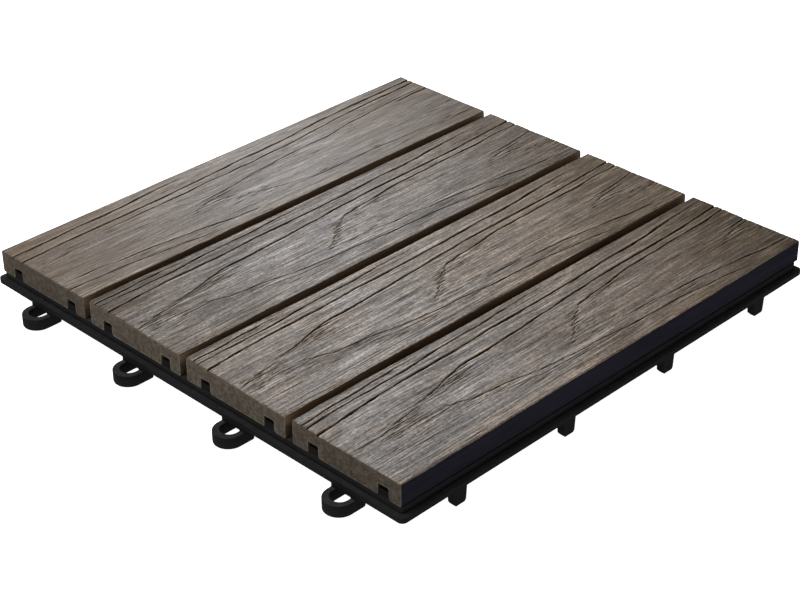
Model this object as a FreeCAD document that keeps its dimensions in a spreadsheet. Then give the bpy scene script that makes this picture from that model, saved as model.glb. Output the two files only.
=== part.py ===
import FreeCAD, Part
import Sketcher
import os
import time

# Interlocking deck tile: four wood-composite slats on a moulded base, held by 16 screws.
# The base is kept as four touching nodes: the grid with its flange, the feet, the edge
# loops and the edge pegs. They meet in the plane of the grid's underside.
# Millimetres, +Z up. The origin is on the ground under the centre of the tile.
# X runs across the slats, Y runs along them.

V = FreeCAD.Vector
BEGIN = time.time()


def step(feature):
    """Recomputes with the new feature and says how long the model has taken."""
    if hasattr(feature, "Refine"):
        feature.Refine = False
    doc.recompute()
    print("%6.1f s  %s" % (time.time() - BEGIN, feature.Name), flush=True)

doc = FreeCAD.newDocument("deck_tile")
sheet = doc.addObject("Spreadsheet::Sheet", "Dims")

DIMS = [
    # outline and levels
    ("half_module", 150.0),      # half of the square flange outline
    ("flange_corner", 3.0),      # corner radius of the flange
    ("half_wall", 147.0),        # half of the upper wall outline
    ("wall_corner", 1.6),        # corner radius of the upper wall
    ("wall_thick", 2.4),         # perimeter wall
    ("z_under", 9.3),            # underside of flange and ribs
    ("z_flange", 12.0),          # top of the flange
    ("z_seat", 15.8),            # top of the ribs, where the slats sit
    # rib grid
    ("rib_pitch", 25.0),
    ("rib_count", 11),
    ("rib_thick", 2.0),
    # feet
    ("foot_pitch", 50.0),
    ("foot_count", 6),
    ("foot_rad", 5.5),
    ("foot_wall", 1.7),
    ("foot_web", 2.0),
    ("foot_top", 12.0),
    # slats
    ("slat_count", 4),
    ("slat_pitch", 74.7),
    ("slat_shift_x", -0.2),      # the slats sit a little off the middle of the base
    ("slat_shift_y", 0.8),
    ("slat_wid", 69.8),
    ("slat_len", 296.2),
    ("slat_thk", 13.2),
    ("slat_top_round", 1.2),
    ("slat_low_round", 0.9),
    ("groove_wid", 6.8),
    ("groove_deep", 6.2),
    ("groove_a", -21.3),         # centre of one groove from the slat's centre line
    ("groove_b", 23.7),          # centre of the other groove
    # tongues that stand in the grooves at the slats' ends
    ("tongue_wid", 5.9),
    ("tongue_rise", 3.8),        # above the seat
    ("tongue_len", 21.7),
    ("tongue_core", 2.3),        # width of the slot that cores a tongue from below
    ("tongue_roof", 2.0),
    # screw bosses and screws
    ("boss_pitch", 75.0),        # two bosses under each slat, on the crossings of the ribs
    ("boss_rad", 5.0),
    ("boss_hole_rad", 2.0),
    ("boss_sink_rad", 3.7),
    ("boss_floor", 2.6),         # plastic left between the counterbore and the seat
    ("screw_row", 100.0),        # distance of both screw rows from the centre
    ("screw_off", 12.5),         # screw's distance from the middle of its pair
    ("screw_rad", 1.75),
    ("screw_head_rad", 3.2),
    ("screw_head", 2.3),
    ("screw_bite", 9.0),         # depth in the slat
    ("screw_tip", 2.2),
    ("screw_slot", 1.0),
    ("screw_slot_len", 3.8),
    ("screw_slot_deep", 1.2),
    # edge loops
    ("edge_pitch", 75.0),
    ("edge_count", 4),
    ("loop_low", 0.8),
    ("loop_high", 7.3),
    ("loop_rad", 8.0),
    ("loop_nose", 152.5),        # distance of the outer round's centre
    ("loop_hole_rad", 4.85),
    ("loop_hole_nose", 151.9),
    ("loop_back", 142.6),        # where the legs end under the wall
    ("loop_back_round", 2.0),
    # edge pegs
    ("peg_out", 149.6),
    ("peg_in", 145.2),
    ("peg_low", 0.4),
    ("peg_half_top", 4.4),
    ("peg_half_low", 3.8),
    ("peg_chamfer", 1.1),
]
VAL = {}
for row, (name, value) in enumerate(DIMS, start=1):
    sheet.set("A%d" % row, name)
    sheet.set("B%d" % row, repr(value))
    sheet.setAlias("B%d" % row, name)
    VAL[name] = value
doc.recompute()


def plane(body, role):
    for feature in body.Origin.OriginFeatures:
        if feature.Role == role:
            return feature
    raise RuntimeError(role)


def new_body(label):
    body = doc.addObject("PartDesign::Body", label)
    body.Label = label
    if hasattr(body, "AllowCompound"):
        body.AllowCompound = True
    return body


def new_sketch(body, name, height="0", role="XY_Plane"):
    sketch = body.newObject("Sketcher::SketchObject", name)
    sketch.AttachmentSupport = (plane(body, role), [""])
    sketch.MapMode = "FlatFace"
    sketch.setExpression(".AttachmentOffset.Base.z", height)
    return sketch


def bind(sketch, index, name, expression):
    sketch.renameConstraint(index, name)
    sketch.setExpression("Constraints." + name, expression)


def rect(sketch, tag, x0, x1, y0, y1, at=(0.0, 10.0, 0.0, 10.0)):
    """A rectangle whose four sides are bound to expressions; at is where it starts."""
    a, b, c, d = at
    base = sketch.GeometryCount
    pts = [V(a, c, 0), V(b, c, 0), V(b, d, 0), V(a, d, 0)]
    for i in range(4):
        sketch.addGeometry(Part.LineSegment(pts[i], pts[(i + 1) % 4]), False)
    for i in range(4):
        sketch.addConstraint(Sketcher.Constraint("Coincident", base + i, 2, base + (i + 1) % 4, 1))
    sketch.addConstraint(Sketcher.Constraint("Horizontal", base))
    sketch.addConstraint(Sketcher.Constraint("Horizontal", base + 2))
    sketch.addConstraint(Sketcher.Constraint("Vertical", base + 1))
    sketch.addConstraint(Sketcher.Constraint("Vertical", base + 3))
    bind(sketch, sketch.addConstraint(Sketcher.Constraint("DistanceX", -1, 1, base, 1, a)), tag + "_x0", x0)
    bind(sketch, sketch.addConstraint(Sketcher.Constraint("DistanceX", -1, 1, base, 2, b)), tag + "_x1", x1)
    bind(sketch, sketch.addConstraint(Sketcher.Constraint("DistanceY", -1, 1, base, 1, c)), tag + "_y0", y0)
    bind(sketch, sketch.addConstraint(Sketcher.Constraint("DistanceY", -1, 1, base + 2, 1, d)), tag + "_y1", y1)


def circle(sketch, tag, x, y, radius, at=(0.0, 0.0, 5.0)):
    a, b, r = at
    g = sketch.addGeometry(Part.Circle(V(a, b, 0), V(0, 0, 1), r), False)
    if x == "0" and y == "0":
        sketch.addConstraint(Sketcher.Constraint("Coincident", g, 3, -1, 1))
    else:
        bind(sketch, sketch.addConstraint(Sketcher.Constraint("DistanceX", -1, 1, g, 3, a)), tag + "_x", x)
        bind(sketch, sketch.addConstraint(Sketcher.Constraint("DistanceY", -1, 1, g, 3, b)), tag + "_y", y)
    bind(sketch, sketch.addConstraint(Sketcher.Constraint("Radius", g, r)), tag + "_r", radius)


def polygon(sketch, tag, points):
    """A closed polygon; each point is (x value, x expression, y value, y expression)."""
    base = sketch.GeometryCount
    n = len(points)
    for i in range(n):
        p, q = points[i], points[(i + 1) % n]
        sketch.addGeometry(Part.LineSegment(V(p[0], p[2], 0), V(q[0], q[2], 0)), False)
    for i in range(n):
        sketch.addConstraint(Sketcher.Constraint("Coincident", base + i, 2, base + (i + 1) % n, 1))
    for i, p in enumerate(points):
        bind(sketch, sketch.addConstraint(Sketcher.Constraint("DistanceX", -1, 1, base + i, 1, p[0])), "%s_x%d" % (tag, i), p[1])
        bind(sketch, sketch.addConstraint(Sketcher.Constraint("DistanceY", -1, 1, base + i, 1, p[2])), "%s_y%d" % (tag, i), p[3])


def pad(body, name, sketch, length, down=False):
    feature = body.newObject("PartDesign::Pad", name)
    feature.Profile = sketch
    feature.Reversed = down
    feature.setExpression("Length", length)
    step(feature)
    return feature


def pocket(body, name, sketch, length, up=False):
    feature = body.newObject("PartDesign::Pocket", name)
    feature.Profile = sketch
    feature.Reversed = up
    feature.setExpression("Length", length)
    step(feature)
    return feature


def linear(body, name, originals, axis, length, count):
    feature = body.newObject("PartDesign::LinearPattern", name)
    feature.Originals = originals
    feature.Direction = (plane(body, axis), [""])
    feature.setExpression("Length", length)
    feature.setExpression("Occurrences", count)
    body.Tip = feature
    step(feature)
    return feature


def vertical_edges(shape, half):
    """Names of the upright edges at the four corners of a square outline."""
    names = []
    for i, edge in enumerate(shape.Edges, start=1):
        a, b = edge.firstVertex().Point, edge.lastVertex().Point
        if abs(a.x - b.x) < 1e-6 and abs(a.y - b.y) < 1e-6:
            if abs(abs(a.x) - half) < 1e-6 and abs(abs(a.y) - half) < 1e-6:
                names.append("Edge%d" % i)
    return names


def round_edges(body, name, base, edges, radius):
    feature = body.newObject("PartDesign::Fillet", name)
    feature.Base = (base, edges)
    feature.setExpression("Radius", radius)
    body.Tip = feature
    step(feature)
    return feature


# ---------------------------------------------------------------- base moulding
frame = new_body("PerimeterFrame")

# perimeter wall, from the underside to the slats' seat
sk = new_sketch(frame, "WallOutline", "Dims.z_under")
rect(sk, "outer", "-Dims.half_wall", "Dims.half_wall", "-Dims.half_wall", "Dims.half_wall", (-147, 147, -147, 147))
wall = pad(frame, "Wall", sk, "Dims.z_seat - Dims.z_under")
wall_round = round_edges(frame, "WallCorners", wall, vertical_edges(wall.Shape, VAL["half_wall"]), "Dims.wall_corner")

# flange that stands out round the wall
sk = new_sketch(frame, "FlangeOutline", "Dims.z_under")
rect(sk, "outer", "-Dims.half_module", "Dims.half_module", "-Dims.half_module", "Dims.half_module", (-150, 150, -150, 150))
flange = pad(frame, "Flange", sk, "Dims.z_flange - Dims.z_under")
flange_round = round_edges(frame, "FlangeCorners", flange, vertical_edges(flange.Shape, VAL["half_module"]), "Dims.flange_corner")

# the block is opened inside the wall
sk = new_sketch(frame, "InnerOutline", "Dims.z_under")
inner = "Dims.half_wall - Dims.wall_thick"
rect(sk, "inner", "-(" + inner + ")", inner, "-(" + inner + ")", inner, (-144, 144, -144, 144))
opened = pocket(frame, "Inside", sk, "Dims.z_seat - Dims.z_under", up=True)

slat_first = "Dims.slat_shift_x - Dims.slat_pitch * (Dims.slat_count - 1) / 2"
boss_first = "-Dims.boss_pitch * (Dims.slat_count - 1) / 2"
boss_span = "Dims.boss_pitch * (Dims.slat_count - 1)"
edge_first = "-Dims.edge_pitch * (Dims.edge_count - 1) / 2"
SPOTS = [
    ("a", boss_first + " - Dims.screw_off", -125.0, "-Dims.screw_row", -100.0),
    ("b", boss_first + " + Dims.screw_off", -100.0, "-Dims.screw_row", -100.0),
    ("c", boss_first + " - Dims.screw_off", -125.0, "Dims.screw_row", 100.0),
    ("d", boss_first + " + Dims.screw_off", -100.0, "Dims.screw_row", 100.0),
]


def place(obj, x="0", y="0", z="0"):
    for axis, value in (("x", x), ("y", y), ("z", z)):
        if value != "0":
            obj.setExpression(".Placement.Base." + axis, value)


def block(name, x0, x1, y0, y1, z0, z1):
    """A box between six expressions."""
    obj = doc.addObject("Part::Box", name)
    obj.setExpression("Length", "(" + x1 + ") - (" + x0 + ")")
    obj.setExpression("Width", "(" + y1 + ") - (" + y0 + ")")
    obj.setExpression("Height", "(" + z1 + ") - (" + z0 + ")")
    place(obj, x0, y0, z0)
    return obj


def rod(name, x, y, z0, z1, radius):
    obj = doc.addObject("Part::Cylinder", name)
    obj.setExpression("Radius", radius)
    obj.setExpression("Height", "(" + z1 + ") - (" + z0 + ")")
    place(obj, x, y, z0)
    return obj


def fuse(name, shapes):
    obj = doc.addObject("Part::MultiFuse", name)
    obj.Shapes = shapes
    return obj


def cut(name, solid, tool):
    obj = doc.addObject("Part::Cut", name)
    obj.Base = solid
    obj.Tool = tool
    return obj


def copy_of(master, name, x="0", y="0", turn=0.0):
    """The same moulded detail at another place, turned about Z."""
    link = doc.addObject("App::Link", name)
    link.LinkedObject = master
    link.LinkTransform = False
    link.Placement = FreeCAD.Placement(V(0, 0, 0), FreeCAD.Rotation(V(0, 0, 1), turn))
    place(link, x, y)
    return link


# the rib grid
ribs = []
inner = "(Dims.half_wall - Dims.wall_thick / 2)"
for i in range(int(VAL["rib_count"])):
    at = "(%d - (Dims.rib_count - 1) / 2) * Dims.rib_pitch" % i
    lo, hi = at + " - Dims.rib_thick / 2", at + " + Dims.rib_thick / 2"
    ribs.append(block("RibAlongY%d" % i, lo, hi, "-" + inner, inner, "Dims.z_under", "Dims.z_seat"))
    ribs.append(block("RibAlongX%d" % i, "-" + inner, inner, lo, hi, "Dims.z_under", "Dims.z_seat"))

# screw bosses and their stepped holes: two rows, two bosses under each slat
bosses, drills = [], []
for n in range(int(VAL["slat_count"])):
    for tag, x, xv, y, yv in SPOTS:
        spot = "%d * Dims.boss_pitch + " % n + x
        name = "%d%s" % (n + 1, tag)
        bosses.append(rod("Boss" + name, spot, y, "Dims.z_under", "Dims.z_seat", "Dims.boss_rad"))
        drills.append(rod("BossHole" + name, spot, y, "Dims.z_under - 1", "Dims.z_seat + 1", "Dims.boss_hole_rad"))
        drills.append(rod("BossSink" + name, spot, y, "Dims.z_under - 1", "Dims.z_seat - Dims.boss_floor", "Dims.boss_sink_rad"))

# tongues that stand in the slats' grooves at both ends, cored from below
tongue_solid = block("TongueSolid", "-Dims.tongue_wid / 2", "Dims.tongue_wid / 2", "-Dims.half_wall",
                     "-Dims.half_wall + Dims.tongue_len", "Dims.z_under", "Dims.z_seat + Dims.tongue_rise")
tongue_core = block("TongueCore", "-Dims.tongue_core / 2", "Dims.tongue_core / 2", "-Dims.half_wall + Dims.wall_thick",
                    "-Dims.half_wall + Dims.tongue_len - 2", "Dims.z_under - 1",
                    "Dims.z_seat + Dims.tongue_rise - Dims.tongue_roof")
tongue = cut("Tongue", tongue_solid, tongue_core)
tongues = []
for n in range(int(VAL["slat_count"])):
    for tag, groove in (("a", "Dims.groove_a"), ("b", "Dims.groove_b")):
        spot = "%d * Dims.slat_pitch + " % n + slat_first + " + " + groove
        tongues.append(copy_of(tongue, "TongueNear%d%s" % (n + 1, tag), spot))
        tongues.append(copy_of(tongue, "TongueFar%d%s" % (n + 1, tag), spot, "0", 180.0))

# feet: a tube with a cross web under every second rib crossing, and one under the centre.
# The tube goes on above the underside as a collar round the rib crossing.
inside = "Dims.foot_rad - Dims.foot_wall"
tube = cut("FootTube", rod("FootOuter", "0", "0", "0", "Dims.z_under", "Dims.foot_rad"),
           rod("FootInner", "0", "0", "-1", "Dims.z_under + 1", inside))
arm, half = "(Dims.foot_rad - Dims.foot_wall / 2)", "Dims.foot_web / 2"
foot = fuse("Foot", [tube,
                     block("FootWebX", "-" + arm, arm, "-" + half, half, "0", "Dims.z_under"),
                     block("FootWebY", "-" + half, half, "-" + arm, arm, "0", "Dims.z_under")])
collar = cut("FootCollar", rod("CollarOuter", "0", "0", "Dims.z_under", "Dims.foot_top", "Dims.foot_rad"),
             rod("CollarInner", "0", "0", "Dims.z_under - 1", "Dims.foot_top + 1", inside))
feet, collars = [copy_of(foot, "FootCentre")], [copy_of(collar, "CollarCentre")]
for i in range(int(VAL["foot_count"])):
    for j in range(int(VAL["foot_count"])):
        spot = "(%d - (Dims.foot_count - 1) / 2) * Dims.foot_pitch"
        feet.append(copy_of(foot, "Foot%d%d" % (i + 1, j + 1), spot % i, spot % j))
        collars.append(copy_of(collar, "Collar%d%d" % (i + 1, j + 1), spot % i, spot % j))

# one edge loop, drawn on the -Y edge: a short web under the flange and a U-shaped eye below it
loop = new_body("EdgeLoop")
sk = new_sketch(loop, "LoopWebOutline", "Dims.loop_high")
rect(sk, "web", "-Dims.loop_rad", "Dims.loop_rad", "-Dims.half_module", "-Dims.loop_back", (-8, 8, -150, -142.6))
pad(loop, "LoopWeb", sk, "Dims.z_under - Dims.loop_high")
sk = new_sketch(loop, "LoopLegsOutline", "Dims.loop_low")
rect(sk, "legs", "-Dims.loop_rad", "Dims.loop_rad", "-Dims.loop_nose", "-Dims.loop_back", (-8, 8, -152.5, -142.6))
legs = pad(loop, "LoopLegs", sk, "Dims.loop_high - Dims.loop_low")
backs = []
for i, edge in enumerate(legs.Shape.Edges, start=1):
    a, b = edge.firstVertex().Point, edge.lastVertex().Point
    if abs(a.x - b.x) < 1e-6 and abs(a.y - b.y) < 1e-6 and abs(a.y + VAL["loop_back"]) < 1e-6:
        if abs(abs(a.x) - VAL["loop_rad"]) < 1e-6 and max(a.z, b.z) < VAL["loop_high"] + 1e-3:
            backs.append("Edge%d" % i)
if backs:
    round_edges(loop, "LoopBacks", legs, backs, "Dims.loop_back_round")
sk = new_sketch(loop, "LoopNoseOutline", "Dims.loop_low")
circle(sk, "nose", "0.0 * Dims.loop_rad", "-Dims.loop_nose", "Dims.loop_rad", (0.0, -152.5, 8.0))
pad(loop, "LoopNose", sk, "Dims.loop_high - Dims.loop_low")
sk = new_sketch(loop, "LoopSlotOutline", "Dims.loop_low")
rect(sk, "slot", "-Dims.loop_hole_rad", "Dims.loop_hole_rad", "-Dims.loop_hole_nose", "-Dims.loop_back + 1", (-4.85, 4.85, -151.9, -141.6))
pocket(loop, "LoopSlot", sk, "Dims.loop_high - Dims.loop_low", up=True)
sk = new_sketch(loop, "LoopEyeOutline", "Dims.loop_low")
circle(sk, "eye", "0.0 * Dims.loop_rad", "-Dims.loop_hole_nose", "Dims.loop_hole_rad", (0.0, -151.9, 4.85))
pocket(loop, "LoopEye", sk, "Dims.loop_high - Dims.loop_low", up=True)

# one edge peg, drawn on the +X edge: a tapered tab with bevelled end corners
peg = new_body("EdgePeg")
sk = new_sketch(peg, "PegOutline", "Dims.peg_in", "YZ_Plane")
polygon(sk, "peg", [
    (-4.4, "-Dims.peg_half_top", 9.3, "Dims.z_under"),
    (-3.8, "-Dims.peg_half_low", 1.3, "Dims.peg_low + Dims.peg_chamfer"),
    (-2.9, "-Dims.peg_half_low + 0.8 * Dims.peg_chamfer", 0.4, "Dims.peg_low"),
    (2.9, "Dims.peg_half_low - 0.8 * Dims.peg_chamfer", 0.4, "Dims.peg_low"),
    (3.8, "Dims.peg_half_low", 1.3, "Dims.peg_low + Dims.peg_chamfer"),
    (4.4, "Dims.peg_half_top", 9.3, "Dims.z_under"),
])
pad(peg, "PegTab", sk, "Dims.peg_out - Dims.peg_in")
sk = new_sketch(peg, "PegBevelOutline", "0", "XZ_Plane")
polygon(sk, "bevel", [
    (144.9, "Dims.peg_in - 0.3", -0.6, "Dims.peg_low - 1"),
    (146.7, "Dims.peg_in + 1.5", -0.6, "Dims.peg_low - 1"),
    (146.7, "Dims.peg_in + 1.5", 0.4, "Dims.peg_low"),
    (144.9, "Dims.peg_in - 0.3", 2.2, "Dims.peg_low + 1.8"),
])
bevel = pocket(peg, "PegBevel", sk, "2 * Dims.peg_half_top + 2")
bevel.Midplane = True
step(bevel)

# four loops on the -Y and the -X edge, four pegs on the +X and the +Y edge
loops, pegs = [], []
for n in range(int(VAL["edge_count"])):
    along = "%d * Dims.edge_pitch + " % n + edge_first
    loops.append(copy_of(loop, "LoopMinusY%d" % (n + 1), along, "0"))
    loops.append(copy_of(loop, "LoopMinusX%d" % (n + 1), "0", along, -90.0))
    pegs.append(copy_of(peg, "PegPlusX%d" % (n + 1), "0", along))
    pegs.append(copy_of(peg, "PegPlusY%d" % (n + 1), along, "0", 90.0))

moulding = fuse("Moulding", [frame] + ribs + bosses + tongues + collars)
base = cut("base_grid", moulding, fuse("Drills", drills))
base.Label = "base_grid"
base.Refine = True
step(base)


def group(label, shapes):
    """The same detail in several places, as one node of separate solids."""
    obj = fuse(label, shapes)
    obj.Label = label
    step(obj)
    return obj


base_feet = group("base_feet", feet)
edge_loops = group("edge_loops", loops)
edge_pegs = group("edge_pegs", pegs)


# ---------------------------------------------------------------- slats
def long_edges(shape, half_width, height):
    names = []
    for i, edge in enumerate(shape.Edges, start=1):
        a, b = edge.firstVertex().Point, edge.lastVertex().Point
        if abs(a.x - b.x) < 1e-6 and abs(a.z - b.z) < 1e-6 and abs(a.y - b.y) > 100:
            if abs(abs(a.x) - half_width) < 1e-6 and abs(a.z - height) < 1e-6:
                names.append("Edge%d" % i)
    return names


def slat(number):
    body = new_body("slat_%d" % number)
    middle = "(%d - (Dims.slat_count + 1) / 2)" % number
    body.setExpression(".Placement.Base.x", "Dims.slat_shift_x + " + middle + " * Dims.slat_pitch")
    body.setExpression(".Placement.Base.y", "Dims.slat_shift_y")
    half_w, half_l = "Dims.slat_wid / 2", "Dims.slat_len / 2"
    sketch = new_sketch(body, "SlatOutline%d" % number, "Dims.z_seat")
    rect(sketch, "slat", "-" + half_w, half_w, "-" + half_l, half_l, (-35, 35, -148, 148))
    plank = pad(body, "Plank%d" % number, sketch, "Dims.slat_thk")
    half = VAL["slat_wid"] / 2
    top = round_edges(body, "TopEdges%d" % number, plank, long_edges(plank.Shape, half, VAL["z_seat"] + VAL["slat_thk"]), "Dims.slat_top_round")
    round_edges(body, "LowEdges%d" % number, top, long_edges(top.Shape, half, VAL["z_seat"]), "Dims.slat_low_round")
    # two grooves along the underside
    sketch = new_sketch(body, "GrooveOutline%d" % number, "Dims.z_seat")
    for tag, centre, cv in (("a", "Dims.groove_a", -21.3), ("b", "Dims.groove_b", 23.7)):
        rect(sketch, tag, centre + " - Dims.groove_wid / 2", centre + " + Dims.groove_wid / 2",
             "-" + half_l + " - 1", half_l + " + 1", (cv - 3.4, cv + 3.4, -149.5, 149.5))
    pocket(body, "Grooves%d" % number, sketch, "Dims.groove_deep", up=True)
    # four screw holes from below, over the bosses
    pair = middle + " * (Dims.boss_pitch - Dims.slat_pitch) - Dims.slat_shift_x"
    near, far = "-Dims.screw_row - Dims.slat_shift_y", "Dims.screw_row - Dims.slat_shift_y"
    sketch = new_sketch(body, "HoleOutline%d" % number, "Dims.z_seat")
    for tag, x, xv, y, yv in (("a", pair + " - Dims.screw_off", -12.5, near, -100.0),
                              ("b", pair + " + Dims.screw_off", 12.5, near, -100.0),
                              ("c", pair + " - Dims.screw_off", -12.5, far, 100.0),
                              ("d", pair + " + Dims.screw_off", 12.5, far, 100.0)):
        circle(sketch, tag, x, y, "Dims.screw_rad", (xv, yv, 1.75))
    pocket(body, "Holes%d" % number, sketch, "Dims.screw_bite + 0.4", up=True)
    return body


slats = [slat(n) for n in range(1, 5)]

# ---------------------------------------------------------------- screws
screws = new_body("deck_screws")
z_head = "Dims.z_seat - Dims.boss_floor - Dims.screw_head"


def screw_circles(name, height, radius, rv):
    sketch = new_sketch(screws, name, height)
    for tag, x, xv, y, yv in SPOTS:
        circle(sketch, tag, x, y, radius, (xv, yv, rv))
    return sketch


sk = screw_circles("HeadOutline", z_head, "Dims.screw_head_rad", 3.2)
heads = pad(screws, "Heads", sk, "Dims.screw_head")
sk = screw_circles("ShankOutline", z_head, "Dims.screw_rad", 1.75)
shanks = pad(screws, "Shanks", sk, "Dims.screw_head + Dims.boss_floor + Dims.screw_bite - Dims.screw_tip")
sk = screw_circles("TipOutline", "Dims.z_seat + Dims.screw_bite - Dims.screw_tip", "Dims.screw_rad", 1.75)
tips = pad(screws, "Tips", sk, "Dims.screw_tip")
tips.TaperAngle = -30.0
doc.recompute()
sk = new_sketch(screws, "SlotAcrossOutline", z_head)
for tag, x, xv, y, yv in SPOTS:
    rect(sk, tag, x + " - Dims.screw_slot_len / 2", x + " + Dims.screw_slot_len / 2", y + " - Dims.screw_slot / 2",
         y + " + Dims.screw_slot / 2", (xv - 1.9, xv + 1.9, yv - 0.5, yv + 0.5))
slot_x = pocket(screws, "SlotAcross", sk, "Dims.screw_slot_deep", up=True)
sk = new_sketch(screws, "SlotAlongOutline", z_head)
for tag, x, xv, y, yv in SPOTS:
    rect(sk, tag, x + " - Dims.screw_slot / 2", x + " + Dims.screw_slot / 2", y + " - Dims.screw_slot_len / 2",
         y + " + Dims.screw_slot_len / 2", (xv - 0.5, xv + 0.5, yv - 1.9, yv + 1.9))
slot_y = pocket(screws, "SlotAlong", sk, "Dims.screw_slot_deep", up=True)
linear(screws, "AllScrews", [heads, shanks, tips, slot_x, slot_y], "X_Axis", boss_span, "Dims.slat_count")

# ---------------------------------------------------------------- checks and export
doc.recompute()
for obj in doc.Objects:
    if "Invalid" in obj.State or "Error" in obj.State:
        raise RuntimeError("%s is %s" % (obj.Name, obj.State))

subparts = [base, base_feet, edge_loops, edge_pegs] + slats + [screws]
for body in subparts:
    shape = body.Shape
    if shape.isNull() or not shape.isValid():
        raise RuntimeError("bad shape: " + body.Label)

os.makedirs("parts", exist_ok=True)
for body in subparts:
    shape = body.Shape
    box = shape.BoundBox
    print("%-12s solids %2d  faces %4d  volume %9.0f  x %.2f..%.2f  y %.2f..%.2f  z %.2f..%.2f" % (
        body.Label, len(shape.Solids), len(shape.Faces), shape.Volume,
        box.XMin, box.XMax, box.YMin, box.YMax, box.ZMin, box.ZMax))
    shape.exportStep("parts/" + body.Label + ".step")
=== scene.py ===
import math

import bpy
import numpy as np
from mathutils import Matrix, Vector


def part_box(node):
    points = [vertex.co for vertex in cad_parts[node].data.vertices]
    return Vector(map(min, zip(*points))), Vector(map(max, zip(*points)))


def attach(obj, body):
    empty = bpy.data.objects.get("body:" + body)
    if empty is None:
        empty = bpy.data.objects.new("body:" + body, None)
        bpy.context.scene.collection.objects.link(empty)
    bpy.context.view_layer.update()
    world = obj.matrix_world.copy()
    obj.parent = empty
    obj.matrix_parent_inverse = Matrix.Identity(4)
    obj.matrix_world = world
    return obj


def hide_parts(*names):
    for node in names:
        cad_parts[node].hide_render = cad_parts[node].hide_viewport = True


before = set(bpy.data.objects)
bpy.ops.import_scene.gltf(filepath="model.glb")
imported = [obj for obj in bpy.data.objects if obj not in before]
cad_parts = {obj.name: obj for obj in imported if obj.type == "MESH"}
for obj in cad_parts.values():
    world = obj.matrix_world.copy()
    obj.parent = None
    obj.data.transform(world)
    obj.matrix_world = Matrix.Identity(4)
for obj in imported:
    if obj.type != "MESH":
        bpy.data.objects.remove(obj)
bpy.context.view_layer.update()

MM = 0.001

# ------------------------------------------------------------------ smooth noise


def lattice(i, j, seed):
    """A repeatable number from 0 to 1 for each whole-number place."""
    h = (i.astype(np.int64) * 374761393 + j.astype(np.int64) * 668265263 + seed * 974634777) & 0xFFFFFFFF
    h = ((h ^ (h >> 13)) * 1274126177) & 0xFFFFFFFF
    h = ((h ^ (h >> 16)) * 2246822519) & 0xFFFFFFFF
    return ((h ^ (h >> 15)) & 0xFFFFFF) / float(0xFFFFFF)


def noise(u, v, seed):
    """Value noise, from -1 to 1."""
    i, j = np.floor(u), np.floor(v)
    a, b = u - i, v - j
    a, b = a * a * (3 - 2 * a), b * b * (3 - 2 * b)
    n00, n10 = lattice(i, j, seed), lattice(i + 1, j, seed)
    n01, n11 = lattice(i, j + 1, seed), lattice(i + 1, j + 1, seed)
    return 2 * ((n00 * (1 - a) + n10 * a) * (1 - b) + (n01 * (1 - a) + n11 * a) * b) - 1


def fbm(u, v, seed, octaves=3):
    total, weight, scale = 0.0, 1.0, 1.0
    norm = 0.0
    for k in range(octaves):
        total = total + weight * noise(u * scale, v * scale, seed + 17 * k)
        norm += weight
        weight *= 0.5
        scale *= 2.0
    return total / norm


def smooth(a, b, x):
    t = np.clip((x - a) / (b - a), 0.0, 1.0)
    return t * t * (3 - 2 * t)


# ------------------------------------------------------------------ the embossed grain
# One embossing roller made every slat, so the grain is drawn once, in millimetres:
# (place along the roller, place across the slat). Each line also has its half width,
# its depth, and how dark it is, with the lengths over which it fades in and out.
# "faint" names slats on which the first part of a line was pressed only lightly.

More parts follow.
